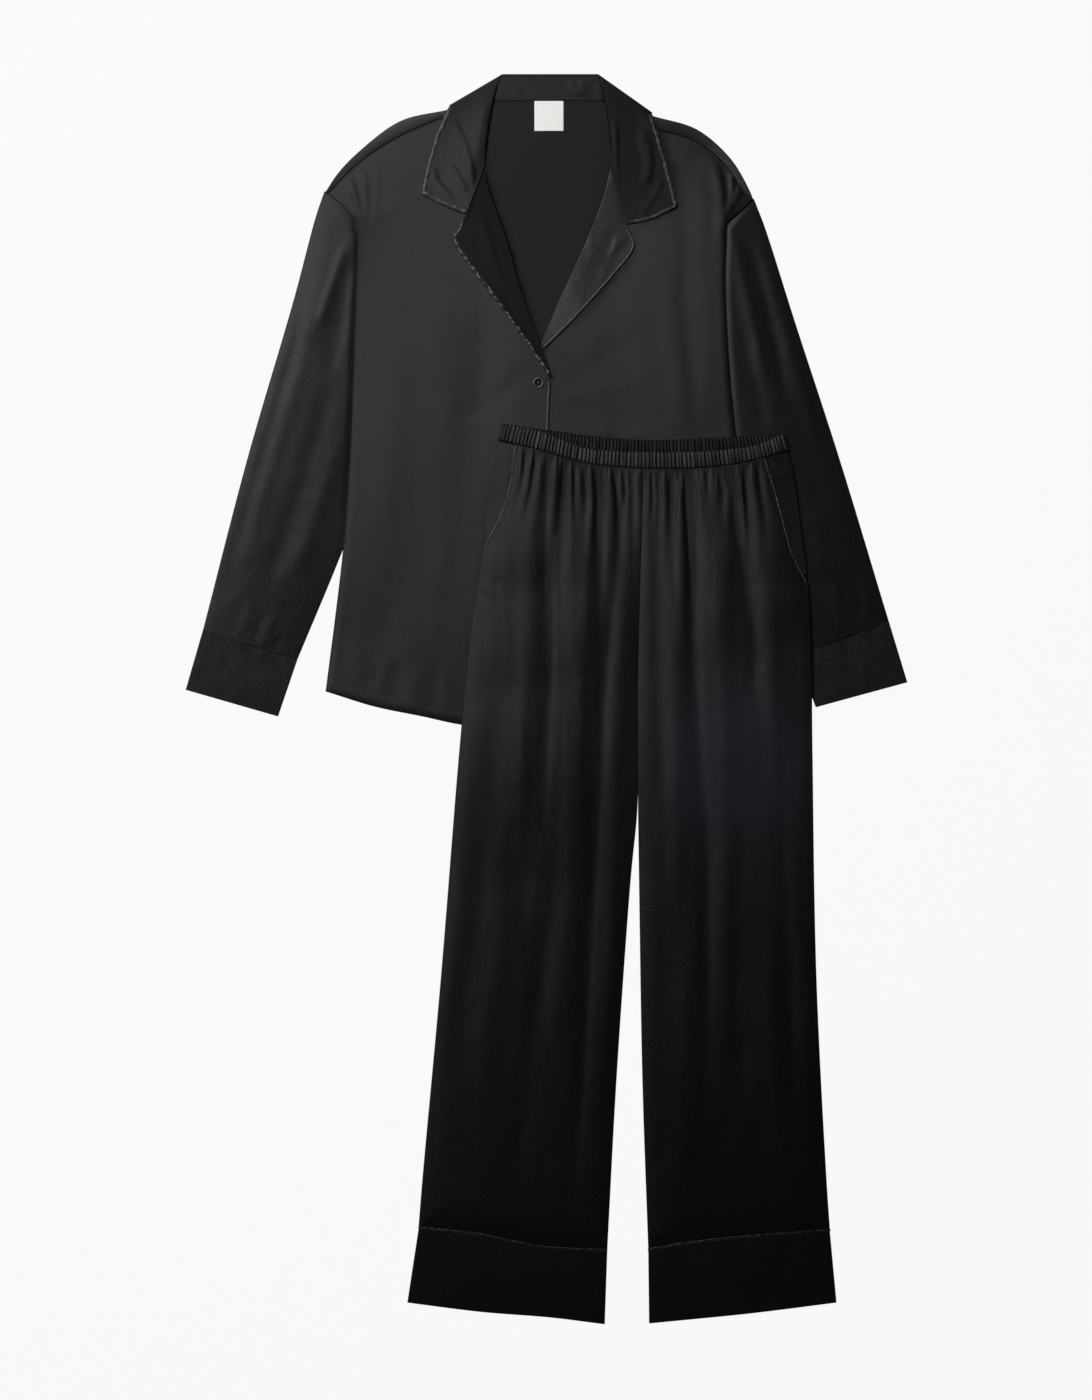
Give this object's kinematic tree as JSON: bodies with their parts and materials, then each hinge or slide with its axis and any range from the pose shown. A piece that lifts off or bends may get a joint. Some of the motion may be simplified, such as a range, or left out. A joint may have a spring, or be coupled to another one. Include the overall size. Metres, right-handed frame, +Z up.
{
  "type": "pyjama set",
  "caption": "Satin pyjama set laid flat: notched-collar button shirt with long cuffed sleeves, and wide trousers with a gathered elastic waist and deep hem cuffs laid over its hem.",
  "frame": {"origin": "centre of the set's outline, on the surface it lies on", "axes": "+Y from the trouser hems towards the collar, +X towards the wearer's left, +Z up out of the surface towards the front of the garments"},
  "size_m": [0.866, 1.4995, 0.0165],
  "materials": {
    "shirt_satin": "satin",
    "trouser_satin": "satin",
    "piping_satin": "satin",
    "button_plastic": "gloss",
    "label_cloth": "matte"
  },
  "bodies": {
    "root": {"shirt_back": "shirt_satin", "shirt_right_front": "shirt_satin", "shirt_left_front": "shirt_satin", "right_sleeve": "shirt_satin", "left_sleeve": "shirt_satin", "right_sleeve_cuff": "shirt_satin", "left_sleeve_cuff": "shirt_satin", "collar": "shirt_satin", "right_lapel": "shirt_satin", "left_lapel": "shirt_satin", "right_collar_piping": "piping_satin", "left_collar_piping": "piping_satin", "right_lapel_piping": "piping_satin", "left_lapel_piping": "piping_satin", "front_edge_piping": "piping_satin", "shirt_button_1": "button_plastic", "shirt_button_2": "button_plastic", "shirt_button_3": "button_plastic", "shirt_button_4": "button_plastic", "neck_label": "label_cloth", "trousers_right_back": "trouser_satin", "trousers_left_back": "trouser_satin", "trousers_right_front": "trouser_satin", "trousers_left_front": "trouser_satin", "waistband_back": "trouser_satin", "waistband_front": "trouser_satin", "right_pocket_facing": "trouser_satin", "left_pocket_facing": "trouser_satin", "right_pocket_piping": "piping_satin", "left_pocket_piping": "piping_satin", "right_leg_piping": "piping_satin", "left_leg_piping": "piping_satin", "right_leg_cuff": "trouser_satin", "left_leg_cuff": "trouser_satin"}
  },
  "joints": []
}
